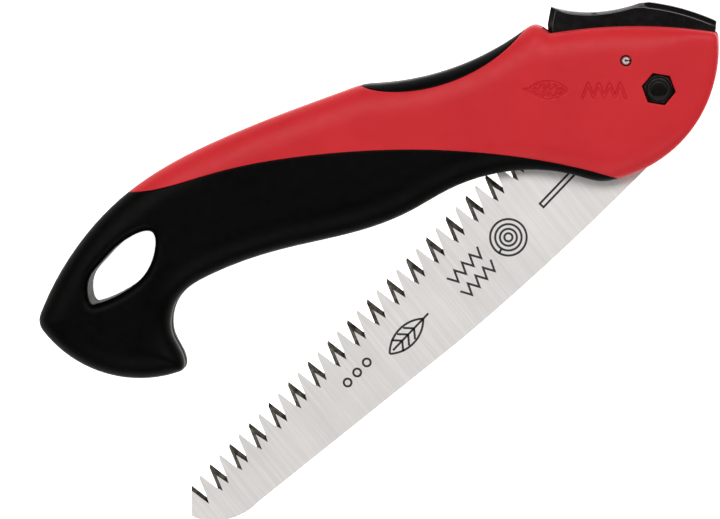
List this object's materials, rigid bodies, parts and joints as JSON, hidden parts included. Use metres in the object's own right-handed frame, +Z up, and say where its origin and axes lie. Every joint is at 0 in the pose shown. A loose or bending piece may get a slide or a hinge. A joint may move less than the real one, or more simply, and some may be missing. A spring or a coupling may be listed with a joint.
{
  "type": "folding pruning saw",
  "caption": "Folding pruning saw with a straight fine-pointed blade, a two-colour pistol handle with a hooked butt, and a rocker lock lever on the head.",
  "frame": {"origin": "on the surface that the saw lies on, under the middle of its box at rest, with the blade ajar", "axes": "+X towards the head, +Y towards the lock lever's side, +Z up, out of the nut side"},
  "size_m": [0.2008, 0.1548, 0.02],
  "materials": {
    "blade": "satin ground steel",
    "cover": "red moulded plastic, satin",
    "grip": "black soft moulding, fine matt",
    "core": "black glass-filled plastic",
    "lever": "black plastic, satin",
    "bolt": "blackened steel, satin",
    "nylon": "black nylon",
    "washer": "bright steel",
    "pin": "bright steel"
  },
  "bodies": {
    "handle": {"right_frame": "core", "right_cover": "cover", "right_grip": "grip", "left_frame": "core", "left_cover": "cover", "left_grip": "grip", "thumb_pad": "grip", "pivot_bolt": "bolt", "bolt_washer": "bolt", "pivot_nut": "bolt", "nut_lock_ring": "nylon", "right_blade_washer": "washer", "left_blade_washer": "washer", "pivot_bush": "washer", "latch_pin": "pin", "latch_spring": "pin", "frame_screw_front": "pin", "frame_screw_middle": "pin", "frame_screw_rear": "pin"},
    "blade": {"saw_blade": "blade"},
    "latch": {"latch_lever": "lever"}
  },
  "joints": [
    {"name": "blade_fold", "type": "hinge", "parent": "handle", "child": "blade", "pos_m": [0.08303, 0.05208, 0.01], "axis": [0, 0, 1], "range_deg": [-18.2, 141]},
    {"name": "latch_press", "type": "hinge", "parent": "handle", "child": "latch", "pos_m": [0.07333, 0.06038, 0.01], "axis": [0, 0, 1], "range_deg": [0, 6], "stiffness_Nm_per_rad": 1, "springref_deg": -5.73, "deforming": ["latch_spring"]}
  ]
}
